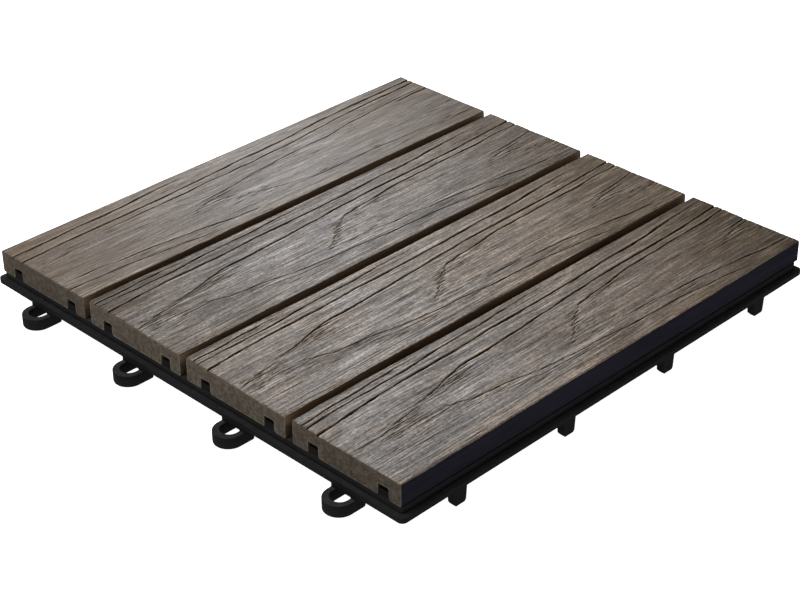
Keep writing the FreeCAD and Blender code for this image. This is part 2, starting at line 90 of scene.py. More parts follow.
LINES = [
    # run of long cracks near the -X edge
    dict(path=[(-160, -29.4), (-140, -29.9), (-133, -30.6), (-125, -31.1), (-118, -30.9), (-105, -31.5), (-92, -31.9),
               (-85, -32.4), (-78, -31.9), (-68, -32.6), (-56, -33.8)], w=0.57, d=0.75, k=1.0, fade=(1, 50)),
    dict(path=[(-160, -25.2), (-150, -25.8), (-140, -26.7), (-130, -27.2), (-115, -27.6), (-105, -27.4), (-95, -27.5),
               (-85, -27.8), (-78, -28.2), (-70, -29.0), (-60, -29.9), (-50, -30.4), (-40, -30.6), (-30, -30.4),
               (-20, -31.0), (-10, -31.6), (0, -32.1), (15, -32.2), (30, -32.8), (45, -33.5), (58, -34.0)],
         w=0.58, d=0.82, k=1.0, fade=(1, 110)),
    dict(path=[(-160, -18.2), (-150, -18.9), (-135, -19.6), (-120, -20.6), (-110, -21.4), (-95, -22.1), (-80, -22.5),
               (-70, -23.1), (-50, -23.3), (-38, -23.9), (-30, -24.4), (-10, -24.5), (0, -24.5), (15, -24.9),
               (30, -25.1), (45, -25.7), (55, -26.2), (68, -26.9), (85, -27.0), (97, -27.5), (108, -28.7),
               (118, -29.3), (130, -29.9), (150, -30.6), (160, -31.0)], w=0.70, d=1.05, k=1.0, fade=(1, 55)),
    dict(path=[(-123, -1.6), (-112, -3.1), (-100, -4.3), (-92, -5.0), (-85, -6.4), (-78, -8.4), (-72, -10.0),
               (-62, -12.2), (-50, -12.4), (-35, -13.1), (-20, -14.0), (-5, -15.0), (10, -15.7), (20, -16.8),
               (35, -17.5), (50, -18.4), (65, -18.5), (85, -19.0), (115, -19.4), (130, -20.3), (148, -21.2),
               (171, -22.5), (181, -23.6), (184, -23.2), (196, -23.3), (216, -24.2), (231, -26.3), (241, -27.3),
               (261, -27.8), (281, -28.5), (296, -29.1), (325, -29.6)], w=0.62, d=0.95, k=1.0, fade=(60, 1)),
    # flame two, its -X side: it drops steeply from the tip and then runs along the slat
    dict(path=[(-12, 12.9), (-5, 9.5), (-1, 7.2), (1, 5.0), (4, 1.8), (8, -2.0), (12, -3.0), (17, -6.0), (20, -8.6),
               (27, -8.7), (30, -9.8), (40, -10.3), (48, -11.1), (57, -12.6), (65, -13.5), (75, -13.6), (90, -14.1),
               (105, -14.6), (130, -14.6), (148, -16.0), (161, -15.6), (171, -16.6), (178, -16.2), (191, -17.1),
               (206, -17.5), (216, -18.3), (226, -19.5), (241, -20.7), (251, -22.4), (266, -23.0), (286, -24.0),
               (301, -24.3), (325, -25.8)], w=0.54, d=0.78, k=0.98, fade=(7, 1), faint={0: (62, 112, 0.30)}),
    # flame one, its +X side
    dict(path=[(-123, 7.4), (-120, 6.3), (-108, 5.9), (-95, 6.3), (-86, 6.6)], w=0.42, d=0.26, k=0.68, fade=(2, 20)),
    dict(path=[(-103, 3.0), (-96, 3.3), (-92, 5.2), (-88, 7.2), (-82, 8.5), (-78, 10.4), (-72, 11.4), (-60, 12.6),
               (-50, 14.2), (-40, 16.5), (-30, 18.0), (-15, 19.5), (0, 20.1), (10, 21.1), (25, 22.5), (45, 23.3),
               (65, 24.2), (75, 25.7), (85, 26.6), (95, 27.5), (105, 29.3), (116, 30.6), (136, 32.4)],
         w=0.48, d=0.50, k=0.86, fade=(16, 40)),
    # flame two, its +X side
    dict(path=[(-3, 10.8), (8, 12.6), (18, 13.2), (30, 15.3), (40, 15.6), (50, 15.9), (57, 17.6), (70, 18.0),
               (78, 18.7), (90, 20.1), (100, 21.1), (110, 22.5), (118, 23.6), (128, 25.4), (145, 26.7), (152, 27.2)],
         w=0.48, d=0.50, k=0.86, fade=(50, 10)),
    # flame three
    dict(path=[(113, 1.9), (121, 1.9), (126, 0.5), (131, -0.8), (138, -1.1), (143, -1.6), (151, -2.4), (159, -3.6),
               (169, -5.5), (176, -6.0), (183, -6.3), (193, -7.6), (206, -8.5), (216, -8.8), (231, -9.0),
               (239, -10.2), (246, -11.8), (256, -13.1), (266, -13.2), (276, -14.4), (286, -15.0), (301, -15.8),
               (311, -16.3), (325, -17.5)], w=0.46, d=0.45, k=0.76, fade=(26, 1)),
    dict(path=[(124, 5.0), (134, 4.6), (142, 5.2), (149, 6.0), (154, 7.6)], w=0.46, d=0.32, k=0.78, fade=(5, 8)),
    dict(path=[(144, 10.8), (150, 10.4), (156, 10.6), (160, 13.6), (166, 14.6), (171, 16.2), (181, 18.0), (187, 19.5),
               (193, 21.5), (201, 21.7), (216, 21.8), (226, 21.2), (236, 21.4), (249, 22.2), (256, 22.8), (271, 23.1),
               (283, 23.0)], w=0.46, d=0.34, k=0.64, fade=(14, 26)),
    dict(path=[(298, 26.0), (308, 25.6), (325, 26.4)], w=0.46, d=0.30, k=0.70, fade=(8, 1)),
    dict(path=[(286, -12.9), (300, -13.5), (325, -14.3)], w=0.74, d=0.34, k=0.74, fade=(12, 1)),
    # side branches
    dict(path=[(-130, 2.5), (-126, 1.9), (-122, 1.1), (-114, 1.3), (-106, 1.5), (-98, 0.6)], w=0.42, d=0.32, k=0.78, fade=(2, 10)),
    dict(path=[(-96, -3.2), (-84, -4.6), (-76, -5.2), (-70, -6.3), (-62, -7.4), (-55, -8.4), (-46, -8.8)], w=0.38, d=0.24, k=0.54, fade=(12, 14)),
    dict(path=[(-78, -8.2), (-70, -8.5), (-62, -8.6)], w=0.46, d=0.26, k=0.60, fade=(5, 6)),
    dict(path=[(-121, 0.2), (-112, -1.2), (-104, -2.0), (-96, -2.3)], w=0.42, d=0.26, k=0.74, fade=(4, 6)),
    dict(path=[(-112, 4.4), (-106, 3.9), (-100, 4.3), (-95, 4.2)], w=0.40, d=0.22, k=0.66, fade=(3, 5)),
    dict(path=[(-93, -3.4), (-86, -4.7), (-80, -6.4), (-75, -7.0)], w=0.42, d=0.26, k=0.76, fade=(3, 4)),
    dict(path=[(-88, -1.6), (-80, -3.3), (-74, -3.7), (-66, -4.6)], w=0.38, d=0.20, k=0.58, fade=(4, 6)),
    dict(path=[(-70, -10.2), (-63, -10.3), (-56, -10.9)], w=0.40, d=0.24, k=0.64, fade=(3, 5)),
    dict(path=[(-108, 8.6), (-99, 8.0), (-92, 8.8)], w=0.38, d=0.20, k=0.56, fade=(3, 5)),
    dict(path=[(-100, 9.6), (-88, 10.4), (-80, 12.2), (-70, 14.4), (-62, 15.4)], w=0.40, d=0.22, k=0.58, fade=(10, 10)),
    dict(path=[(-70, 15.8), (-58, 17.3), (-48, 18.9), (-36, 20.7), (-20, 21.3), (-4, 21.4)], w=0.40, d=0.22, k=0.55, fade=(10, 14)),
    dict(path=[(-8, 9.9), (-2, 9.3), (6, 9.1), (12, 9.7)], w=0.36, d=0.20, k=0.6, fade=(4, 4)),
    dict(path=[(0, 5.6), (6, 5.2), (13, 5.5)], w=0.34, d=0.18, k=0.56, fade=(3, 3)),
    dict(path=[(1, 3.0), (7, 2.6), (14, 3.0)], w=0.34, d=0.18, k=0.56, fade=(3, 3)),
    dict(path=[(12, -0.8), (20, -4.8), (28, -5.9), (38, -8.2), (46, -8.9)], w=0.42, d=0.22, k=0.48, fade=(6, 8)),
    dict(path=[(30, -7.2), (40, -7.9), (50, -9.6)], w=0.44, d=0.20, k=0.42, fade=(4, 6)),
    dict(path=[(126, 2.6), (134, 1.6), (146, 0.6), (156, -0.4)], w=0.42, d=0.26, k=0.74, fade=(4, 8)),
    dict(path=[(169, -4.2), (184, -5.6), (200, -6.0), (212, -6.6)], w=0.44, d=0.18, k=0.46, fade=(6, 10)),
    dict(path=[(231, -7.2), (241, -8.6), (252, -9.4), (262, -9.6)], w=0.42, d=0.14, k=0.32, fade=(6, 8)),
    # wavy crack that nibbles the +X edge
    dict(path=[(-140, 32.2), (-132, 32.4), (-126, 32.6), (-121, 33.2), (-116, 32.5), (-105, 32.2), (-98, 32.7), (-90, 32.5), (-82, 33.4)],
         w=0.34, d=0.20, k=0.40, fade=(1, 8)),
    dict(path=[(160, 33.1), (168, 32.5), (176, 32.4), (184, 32.8), (192, 33.5)], w=0.34, d=0.18, k=0.38, fade=(4, 6)),
    dict(path=[(134, 30.6), (142, 31.6), (150, 32.4), (158, 32.6)], w=0.40, d=0.24, k=0.62, fade=(5, 8)),
    dict(path=[(-25, 32.4), (10, 33.2), (60, 33.0), (110, 33.6)], w=0.34, d=0.16, k=0.3, fade=(20, 20)),
]

# ridges that stand a little proud, painted pale as a painted highlight, with a thin line of painted shade beside each
RIDGES = [
    dict(path=[(-160, 26.6), (-120, 26.8), (-60, 26.5), (-10, 26.9), (20, 27.2)], w=0.36, k=1.0, fade=(1, 30)),
    dict(path=[(-160, 17.6), (-120, 17.5), (-84, 18.0)], w=0.30, k=0.6, fade=(1, 20)),
    dict(path=[(-34, 17.3), (-12, 17.8), (22, 18.2)], w=0.32, k=0.8, fade=(8, 14)),
    dict(path=[(-36, -12.0), (-24, -12.5), (-8, -13.4)], w=0.34, k=0.7, fade=(5, 8)),
    dict(path=[(-60, 15.9), (-46, 17.6), (-40, 18.4)], w=0.30, k=0.7, fade=(4, 6)),
    dict(path=[(-24, 20.6), (-6, 21.2)], w=0.30, k=0.6, fade=(4, 6)),
    dict(path=[(20, 17.2), (44, 17.5)], w=0.30, k=0.6, fade=(5, 8)),
    dict(path=[(-96, -1.2), (-60, -0.9), (-30, -0.7)], w=0.24, k=0.5, fade=(10, 12)),
    dict(path=[(-128, 4.0), (-110, 3.6)], w=0.26, k=0.6, fade=(4, 6)),
    dict(path=[(-120, 7.9), (-104, 7.6)], w=0.26, k=0.5, fade=(4, 6)),
    dict(path=[(155, 26.2), (185, 26.4), (215, 26.6)], w=0.32, k=0.8, fade=(8, 12)),
    dict(path=[(104, 33.0), (124, 33.6), (150, 34.0)], w=0.30, k=0.6, fade=(8, 12)),
    dict(path=[(10, -6.6), (24, -10.0)], w=0.22, k=0.4, fade=(3, 3)),
]

# patches of short cracks: (from, to) along, (from, to) across, how many, how dark, how far they lean
CLUSTERS = [
    (-129, -100, -3.0, 3.6, 30, 0.34), (-124, -92, 5.0, 9.0, 26, 0.34), (-100, -62, -7.4, -3.4, 34, 0.42),
    (-96, -60, 9.2, 16.0, 44, 0.30), (-8, 12, 1.0, 11.0, 14, 0.36, -0.42), (-6, 30, 11.0, 14.4, 24, 0.34),
    (6, 30, -5.8, 0.8, 22, 0.34), (28, 52, -9.4, -5.6, 20, 0.38), (119, 142, 1.6, 9.0, 20, 0.34, -0.16),
    (140, 168, 9.4, 14.6, 26, 0.42), (140, 172, -3.0, 3.0, 24, 0.30), (-60, 40, 19.6, 23.6, 44, 0.26),
    (-40, 60, 14.2, 18.0, 34, 0.22), (196, 246, 19.2, 22.6, 34, 0.34), (226, 262, -9.6, -6.0, 20, 0.26),
    (-150, -60, -33.6, -28.4, 40, 0.30), (60, 150, -26.8, -20.6, 44, 0.30), (200, 320, -22.0, -15.0, 44, 0.26),
    (-140, -50, 12.0, 20.0, 60, 0.22), (60, 150, 21.0, 27.0, 40, 0.26), (280, 320, 22.0, 27.0, 24, 0.34),
]

# tips of the flames, where torn fibres stand inside the crack: its path, how far they reach, how dark, how pale
TIPS = [
    ([(-14, 13.8), (-12, 12.9), (-5, 9.5), (-1, 7.2), (1, 5.0), (4, 1.8), (8, -2.0)], 8.0, 0.62, 0.80),
    ([(-4, 13.0), (1, 10.0), (6, 7.0), (9, 4.0)], 7.0, 0.40, 0.50),
    ([(114, 8.6), (118, 6.0), (123, 3.4), (129, 0.6)], 10.0, 0.60, 0.45),
    ([(-127, 5.0), (-122, 2.6), (-117, 0.2)], 8.0, 0.50, 0.50),
    ([(-82, -6.0), (-76, -8.0), (-68, -10.4)], 7.0, 0.46, 0.85),
]

# where each slat was cut from the embossed run, and how far it sat to one side
# in the press, with how much it drifted along the slat
ROLL = [169.8, 17.6, 17.2, -0.4]
SIDE = [0.75, 0.75, 1.30, 1.05]
DRIFT = [0.0026, 0.0022, 0.0024, 0.0004]


def line_at(path, s):
    """Place across the slat of a line for each place along it, with gently rounded corners."""
    p = np.array(path, float)
    x = np.interp(s, p[:, 0], p[:, 1])
    x += 0.5 * (np.interp(s - 1.4, p[:, 0], p[:, 1]) + np.interp(s + 1.4, p[:, 0], p[:, 1]) - 2 * x)
    return x, p[0, 0], p[-1, 0]


def short_cracks():
    """Hairline cracks and pale fibres, drawn once for the whole run: along, across, length, half width, depth, how dark
    (below zero for pale), tilt, and whether it is a crack or only a stain."""
    rng = np.random.default_rng(417)
    out = []
    for s0, s1, x0, x1, count, dark, *lean in CLUSTERS:
        # spread evenly, so that neighbours stay apart
        rows = max(1, int((x1 - x0) / 1.15))
        for k in range(int(count * 0.62)):
            across = x0 + (x1 - x0) * ((k % rows) + rng.uniform(0.25, 0.75)) / rows
            out.append((rng.uniform(s0, s1), across, rng.uniform(4, 7 if lean else 13), rng.uniform(0.24, 0.34),
                        rng.uniform(0.10, 0.22), min(0.78, dark * rng.uniform(0.7, 1.5)), (lean[0] if lean else -0.02) + rng.normal(0, 0.025), True))
    for _ in range(1500):
        out.append((rng.uniform(-160, 330), rng.uniform(-35, 35), rng.lognormal(2.6, 0.55), rng.uniform(0.19, 0.27), rng.uniform(0.03, 0.12),
                    rng.uniform(0.14, 0.50), rng.normal(-0.006, 0.012), True))
    for _ in range(500):
        out.append((rng.uniform(-160, 330), rng.uniform(-35, 35), rng.lognormal(2.5, 0.5), rng.uniform(0.22, 0.40), rng.uniform(0.0, 0.04),
                    rng.uniform(0.06, 0.22), rng.normal(-0.004, 0.006), False))
    for _ in range(1300):
        out.append((rng.uniform(-160, 330), rng.uniform(-35, 35), rng.lognormal(2.7, 0.55), rng.uniform(0.24, 0.38), rng.uniform(-0.06, -0.01),
                    -rng.uniform(0.06, 0.74) ** 1.3, rng.normal(-0.002, 0.010), False))
    rng = np.random.default_rng(58)
    for path, reach, dark, light in TIPS:
        p = np.array(path, float)[::-1]
        for x0 in np.arange(p[0, 1], p[-1, 1], 2.1):
            s0 = np.interp(x0, p[:, 1], p[:, 0])
            length = reach * rng.uniform(0.7, 1.3)
            out.append((s0 + 0.42 * length, x0 + rng.uniform(-0.15, 0.15), length, 0.36, 0.18, dark * rng.uniform(0.75, 1.2),
                        rng.uniform(-0.16, -0.02), True))
            length = reach * rng.uniform(0.8, 1.7)
            out.append((s0 + 0.55 * length, x0 + 1.05, length, 0.38, -0.04, -light * rng.uniform(0.6, 1.2), rng.uniform(-0.06, 0.0), False))
    return out


STROKES = short_cracks()


def grain(index, x, y):
    """Depth of the relief in millimetres, darkness of cracks, and pale or dark streaks, on a grid (across, along)."""
    s = y + ROLL[index]
    xs = x - SIDE[index]
    drift = DRIFT[index] * y
    depth = np.zeros((x.size, y.size))
    crack = np.zeros_like(depth)
    streak = np.zeros_like(depth)
    grid_x = xs[:, None]
    for n, line in enumerate(LINES):
        at, first, last = line_at(line["path"], s)
        if last < s[0] or first > s[-1]:
            continue
        # where a crack crosses the grain it runs in small steps and is finer
        across = np.gradient(at, s)
        steep = smooth(0.12, 0.60, np.abs(across))
        at = at - 0.50 * steep * across * 3.3 * ((s / 3.3 + 0.31 * n) % 1.0 - 0.5)
        at = at + drift + 0.14 * noise(s / 2.2, s * 0 + 3.3, 40 + n) + 0.22 * noise(s / 9.0, s * 0 + 1.7, 90 + n)
        slope = np.gradient(at, s)
        stretch = np.sqrt(1 + slope ** 2)
        fade_in, fade_out = line["fade"]
        alive = smooth(first - 0.1, first + fade_in, s) * (1 - smooth(last - fade_out, last + 0.1, s))
        if index in line.get("faint", {}):
            start, full, least = line["faint"][index]
            alive = alive * (least + (1 - least) * smooth(start, full, s))
        breaks = 0.86 + 0.28 * noise(s / 5.5, s * 0 + 0.5, 140 + n) + 0.10 * noise(s / 1.9, s * 0, 190 + n)
        half = 0.74 * line["w"] * (0.95 + 0.30 * noise(s / 7.0, s * 0 + 7.1, 240 + n)) * (0.55 + 0.45 * np.sqrt(alive))
        half = half * (1 + 0.12 * smooth(30, 140, y)) * (1 - 0.40 * steep)
        strength = alive * np.clip(breaks, 0.35, 1.15) * (1 - 0.20 * steep)
        dist = (grid_x - at[None, :]) / stretch[None, :]
        # one wall of each crack is steeper than the other
        side = np.where(dist > 0, dist / 1.20, -dist / 0.80)
        core = np.exp(-(side / half[None, :]) ** 2.4)
        depth -= line["d"] * strength[None, :] * core
        # how dark the crack is painted: painted shade in the crevice
        wide = np.exp(-(side / half[None, :]) ** 2.2)
        crack = np.maximum(crack, line["k"] * np.clip(strength, 0, 1)[None, :] * wide)
        # the lip beside the crack is painted pale, as a painted highlight
        lip = np.exp(-((dist + 2.0 * half[None, :]) / (0.9 * half[None, :])) ** 2)
        lip += 0.5 * np.exp(-((dist - 2.6 * half[None, :]) / (0.9 * half[None, :])) ** 2)
        streak += 0.50 * line["k"] * strength[None, :] * lip
        depth += 0.05 * line["k"] * strength[None, :] * lip
    for n, line in enumerate(RIDGES):
        at, first, last = line_at(line["path"], s)
        if last < s[0] or first > s[-1]:
            continue
        at = at + drift + 0.10 * noise(s / 4.0, s * 0 + 2.2, 440 + n)
        fade_in, fade_out = line["fade"]
        alive = smooth(first - 0.1, first + fade_in, s) * (1 - smooth(last - fade_out, last + 0.1, s))
        alive = alive * np.clip(0.8 + 0.4 * noise(s / 6.0, s * 0, 490 + n), 0.2, 1.2)
        core = np.exp(-((grid_x - at[None, :]) / line["w"]) ** 2)
        streak += 1.15 * line["k"] * alive[None, :] * core
        depth += 0.10 * line["k"] * alive[None, :] * core
        # a thin line of painted shade beside the ridge
        under = np.exp(-((grid_x - at[None, :] - 0.75) / 0.35) ** 2)
        streak -= 0.5 * line["k"] * alive[None, :] * under
    step_x, step_y = x[1] - x[0], y[1] - y[0]
    for s0, x0, length, half, deep, dark, tilt, open_crack in STROKES:
        j0, j1 = np.searchsorted(s, [s0 - length / 2, s0 + length / 2])
        if j1 - j0 < 3:
            continue
        i0, i1 = np.searchsorted(xs, [x0 - 1.1, x0 + 1.1])
        if i1 - i0 < 2:
            continue
        t = (s[j0:j1] - s0) / (length / 2)
        env = (1 - t * t)[None, :]
        centre = x0 + drift[j0:j1] + tilt * (s[j0:j1] - s0)
        core = env * np.exp(-((xs[i0:i1, None] - centre[None, :]) / half) ** 2)
        # an open crack is darkened as painted shade in its crevice; the other strokes are stains or pale fibres
        if open_crack:
            crack[i0:i1, j0:j1] = np.maximum(crack[i0:i1, j0:j1], dark * core)
            depth[i0:i1, j0:j1] -= deep * core
        else:
            streak[i0:i1, j0:j1] -= dark * core
            depth[i0:i1, j0:j1] -= deep * core * 0.5
    return depth, crack, streak


# how light each slat's own batch of wood composite is, how much darker at either end and
# along its -X and +X edges, how much browner (all over, then towards either end), how rough its fine
# texture, and how light its sawn ends. The darker, browner ends are partly weathering and partly
# painted shade where the light and its sheen fall off
TONE = [0.920, 0.895, 0.945, 1.020]
NEAR_DARK = [0.03, 0.18, 0.10, 0.13]
FAR_DARK = [0.28, 0.30, 0.28, 0.48]
STRIP = [1.06, 0.79, 0.95, 0.95]
EDGE = [0.96, 0.90, 0.99, 0.93]
BROWNER = [-0.04, -0.12, 0.32, -0.12]
NEAR_BROWN = [0.30, 0.42, 0.60, 0.12]
FAR_BROWN = [0.16, 0.30, 0.38, 0.40]
WEAR = [0.30, 0.73, 0.78, 0.80]
BATCH = [0.82, 1.02, 1.00, 0.80]


def tint(index, x, y):
    """Lightness, and how brown the wood is, on a grid (across, along); partly the wood's own tone, partly painted light
    and shade.
    """
    gx, gy = x[:, None], y[None, :]
    seed = 800 + 20 * index
    wander = 4.0 * noise(gy / 46.0, gx * 0 + 5.0, 700 + index)
    # both ends darker, the far ends most, and both ends browner, partly weathering and partly painted shade where the
    # light and its sheen fall off; both long edges browner
    light = TONE[index] * (1 - FAR_DARK[index] * smooth(50, 150, gy)) * (1 - NEAR_DARK[index] * smooth(-10, -130, gy)) * np.ones_like(gx)
    light = light * (1 - (1 - STRIP[index]) * smooth(-14, -22, gx + wander) * (1 - 0.7 * smooth(40, 110, gy)))
    light = light * (1 - (1 - EDGE[index]) * smooth(20, 26, gx + 0.5 * wander))
    brown = BROWNER[index] + 0.42 + NEAR_BROWN[index] * smooth(-60, -140, gy) + FAR_BROWN[index] * smooth(20, 140, gy) + 0.0 * gx
    brown = brown + 0.20 * smooth(-12, -22, gx + wander) + 0.30 * smooth(24.5, 27.5, gx + 0.5 * wander) * (1 - 0.6 * smooth(20, 130, gy))
    brown = brown - 0.16 * smooth(4, 12, gx + wander) * (1 - smooth(22, 26, gx + 0.5 * wander))
    brown = brown + 0.40 * fbm(gx / 13.0, gy / 50.0, seed, 2) + 0.06 * noise(gx / 5.0, gy / 24.0, seed + 3)
    light = light * (1 + 0.05 * fbm(gx / 8.0, gy / 34.0, seed + 7, 2) + 0.02 * noise(gx / 1.1, gy / 16.0, seed + 9))
    # the +X edge is rubbed to a tan strip
    rubbed = smooth(29.0, 30.6, gx + 0.4 * wander) * np.clip(0.60 + 0.7 * noise(gy / 13.0, gx * 0 + 2.0, seed + 12), 0, 1)
    light = light * (1 + (0.18 if index == 3 else 0.08) * rubbed) * (1 - 0.09 * smooth(23.5, 26, gx) * (1 - smooth(28.0, 29.5, gx)))
    brown = brown + 0.36 * rubbed * (1 - 0.8 * smooth(-20, 110, gy))
    return light, np.clip(brown, 0, 1)


# ------------------------------------------------------------------ one slat

LEVEL = 0.70      # the land between the cracks lies this far below the slat's box
ROUND_TOP = 0.75
ROUND_LOW = 1.0
GROOVES = ((-21.3, 6.8), (23.7, 6.8))
GROOVE_DEEP = 6.2


def swell(index, x, y):
    """The broad rise and fall of the embossed face in millimetres, on a grid (across, along)."""
    gs, gx = (y + ROLL[index])[None, :], (x - SIDE[index])[:, None]
    left = 0.65 * (1 - smooth(-22, -15, gx)) * (1 - smooth(-105, -40, gs))
    flame = (0.85 * (1 - smooth(-18, 14, gx)) - 0.32 * smooth(6, 26, gx)) * smooth(-146, -132, gs) * (1 - smooth(-105, -62, gs))
    roll = 0.10 * noise(gs / 44.0, gx / 17.0, 611) + 0.06 * noise(gs / 19.0, gx / 8.0, 612)
    return np.maximum(left, flame * (gx < 14)) + np.minimum(flame, 0) + roll


def low_section(half, height):
    """The sides and the underside of a slat, from the +X shoulder round to the -X shoulder: (x, z)."""
    top, low = height - LEVEL - ROUND_TOP - 0.6, ROUND_LOW
    pts = [(half, z) for z in np.linspace(top, low, 6)]
    pts += [(half - low * (1 - math.cos(a)), low * (1 - math.sin(a))) for a in np.radians([30, 60, 90])]
    right = []
    for centre, width in sorted(GROOVES, reverse=True):
        a, b = centre + width / 2, centre - width / 2
        right += [(a + 1.1, 0.0), (a + 0.35, 0.30), (a, 1.1), (a, GROOVE_DEEP - 0.5), (a - 0.5, GROOVE_DEEP),
                  (b + 0.5, GROOVE_DEEP), (b, GROOVE_DEEP - 0.5), (b, 0.4), (b - 0.4, 0.0)]
    pts += right
    pts += [(-half + low * (1 - math.cos(a)), low * (1 - math.sin(a))) for a in np.radians([90, 60, 30])]
    pts += [(-half, z) for z in np.linspace(low, top, 6)]
    return pts


def build_slat(index, columns, rows):
    name = "slat_%d" % (index + 1)
    lo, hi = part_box(name)
    centre = (lo.x + hi.x) / 2 / MM
    half = (hi.x - lo.x) / 2 / MM
    y0, y1 = lo.y / MM, hi.y / MM
    z0, height = lo.z / MM, (hi.z - lo.z) / MM

    end = 0.50
    y = np.concatenate([[y0, y0 + 0.14, y0 + end], np.linspace(y0 + end, y1 - end, rows)[1:-1], [y1 - end, y1 - 0.14, y1]])
    flat = np.linspace(-half + ROUND_TOP, half - ROUND_TOP, columns)
    arc = np.radians([0, 22, 45, 68])
    x = np.concatenate([-half + ROUND_TOP * (1 - np.cos(arc)), flat, (half - ROUND_TOP * (1 - np.cos(arc)))[::-1]])
    drop = np.concatenate([ROUND_TOP * (1 - np.sin(arc)), flat * 0, ROUND_TOP * (1 - np.sin(arc))[::-1]])
    inward = np.concatenate([np.cos(arc), flat * 0, -np.cos(arc)[::-1]])

    depth, crack, streak = grain(index, x, y)
    light, brown = tint(index, x, y)
    gx, gy = x[:, None], y[None, :]
    seed = 900 + 30 * index
    depth = depth + swell(index, x, y) + 0.045 * fbm(gx / 0.9, gy / 7.0, seed, 2) + 0.05 * noise(gx / 5.0, gy / 30.0, seed + 5)
    # both ends are cut square and lightly worn
    worn = np.zeros(y.size)
    worn[0] = worn[-1] = 0.16
    worn[1] = worn[-2] = 0.04
    top = height - LEVEL - drop[:, None] + depth - worn[None, :] * (1 + 0.5 * noise(gx / 1.3, gy * 0, seed + 8))
    top = np.clip(top, height - 3.0 - drop[:, None], height)
    # the long edges are slightly nibbled
    nibble = 0.10 * (1 + noise(gy / 3.1, gx * 0 + 2, seed + 11)) + 0.06 * (1 + noise(gy / 0.9, gx * 0, seed + 13))
    px = gx + nibble * inward[:, None]
    pz = np.minimum(top, height)

    ring = low_section(half, height)
    n_top, n_low, n_rows = x.size, len(ring), y.size
    low = np.array(ring)
    # a faint wave along the extruded sides
    wave = 0.03 * noise(y / 18.0, y * 0 + 0.3, seed + 17)

    count = n_top + n_low
    verts = np.zeros((n_rows, count, 3))
    verts[:, :n_top, 0] = centre + px.T
    verts[:, :n_top, 1] = y[:, None]
    verts[:, :n_top, 2] = z0 + pz.T
    lx = low[:, 0][None, :] - np.sign(low[:, 0])[None, :] * np.where(np.abs(low[:, 0]) > half - 1e-6, 0.03 + wave[:, None], 0.0)
    verts[:, n_top:, 0] = centre + lx
    verts[:, n_top:, 1] = y[:, None]
    verts[:, n_top:, 2] = z0 + low[:, 1][None, :]
    flat_verts = verts.reshape(-1, 3)

    j = np.arange(n_rows - 1)[:, None]
    i = np.arange(count)[None, :]
    nxt = (i + 1) % count
    quads = np.stack([j * count + i, j * count + nxt, (j + 1) * count + nxt, (j + 1) * count + i], axis=-1).reshape(-1, 4)
    # along the ring the top runs from -X to +X, so this order faces outwards
    quads = quads[:, ::-1]
    near = list(range(count))
    far = [(n_rows - 1) * count + k for k in range(count)][::-1]

    mesh = bpy.data.meshes.new(name + "_wood")
    loops = np.concatenate([quads.ravel(), near, far]).astype(np.int32)
    starts = np.concatenate([np.arange(len(quads)) * 4, [len(quads) * 4, len(quads) * 4 + count]]).astype(np.int32)
    mesh.vertices.add(len(flat_verts))
    mesh.vertices.foreach_set("co", (flat_verts * MM).astype(np.float32).ravel())
    mesh.loops.add(len(loops))
    mesh.loops.foreach_set("vertex_index", loops)
    mesh.polygons.add(len(starts))
    mesh.polygons.foreach_set("loop_start", starts)
    segment = np.tile(np.arange(count), n_rows - 1)
    slot_of = np.where((segment >= 1) & (segment < n_top - 2), 0, 1)
    mesh.polygons.foreach_set("material_index", np.concatenate([slot_of, [2, 2]]).astype(np.int32))
    smooth_faces = np.ones(len(starts), bool)
    smooth_faces[-2:] = False
    mesh.polygons.foreach_set("use_smooth", smooth_faces)
    mesh.update(calc_edges=True)
    mesh.validate()

    def attribute(label, top_values, low_value):
        values = np.zeros((n_rows, count), np.float32)
        values[:, :n_top] = top_values.T
        values[:, n_top:] = low_value
        layer = mesh.attributes.new(label, "FLOAT", "POINT")
        layer.data.foreach_set("value", values.ravel())

    attribute("crack", np.clip(crack, 0, 1), 0.0)
    attribute("streak", np.clip(streak, -1.2, 1.4), 0.0)
    attribute("light", light, 1.0)
    attribute("brown", brown, 0.5)
    attribute("batch", BATCH[index] + 0 * light, BATCH[index])
    attribute("wear", WEAR[index] * (1 - 0.36 * smooth(0, 130, gy)) + 0 * gx, WEAR[index])
    across = np.broadcast_to(gx, (n_top, n_rows))
    attribute("across", across, low[:, 0][None, :])
    attribute("height", pz, low[:, 1][None, :])
    # the two sides that face outwards stay blue-black; the ones in the gaps are painted brown, as painted warm bounce
    # light
    open_side = np.zeros((1, n_low))
    if index == 3:
        open_side[0, low[:, 0] > 34.3] = 1
    if index == 0:
        open_side[0, low[:, 0] < -34.3] = 1
    attribute("outer", 0 * pz + (gx > 0) * (index == 3) + (gx < 0) * (index == 0), open_side)

    # the cut ends meet the long faces at a sharp corner
    sharp = mesh.attributes.new("sharp_edge", "BOOLEAN", "EDGE")
    edge_verts = np.zeros(len(mesh.edges) * 2, np.int32)
    mesh.edges.foreach_get("vertices", edge_verts)
    edge_verts = edge_verts.reshape(-1, 2)
    row = edge_verts // count
    cut = ((row[:, 0] == 0) & (row[:, 1] == 0)) | ((row[:, 0] == n_rows - 1) & (row[:, 1] == n_rows - 1))
    sharp.data.foreach_set("value", cut)

    obj = bpy.data.objects.new(name + "_wood", mesh)
    bpy.context.scene.collection.objects.link(obj)
    for material in (WOOD_TOP, WOOD_SIDE, WOOD_END):
        mesh.materials.append(material)
    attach(obj, "root")
    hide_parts(name)
    return obj


# ------------------------------------------------------------------ materials


